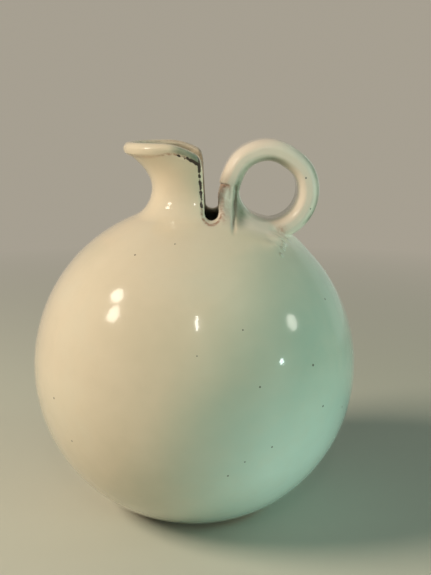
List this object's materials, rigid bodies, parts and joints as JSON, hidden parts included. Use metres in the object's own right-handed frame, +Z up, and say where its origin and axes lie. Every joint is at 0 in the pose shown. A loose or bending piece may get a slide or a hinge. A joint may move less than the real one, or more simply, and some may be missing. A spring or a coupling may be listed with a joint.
{
  "type": "water jug",
  "caption": "Glazed ball-shaped pouring jug with a slotted trumpet neck, a pulled spout and a ring handle on the shoulder.",
  "frame": {"origin": "centre of the foot's underside, on the surface that the jug stands on", "axes": "+Z up along the globe's axis, the spout towards -X and the ring handle towards +X"},
  "size_m": [0.23, 0.23, 0.2658],
  "materials": {
    "white_glaze": "gloss",
    "bare_clay": "matte"
  },
  "bodies": {
    "root": {"globe": "white_glaze", "foot_ring": "bare_clay", "neck": "white_glaze", "spout": "white_glaze", "lip_bead": "white_glaze", "back_strip": "white_glaze", "handle_ring": "white_glaze", "handle_web": "white_glaze", "luting_pad": "white_glaze"}
  },
  "joints": []
}
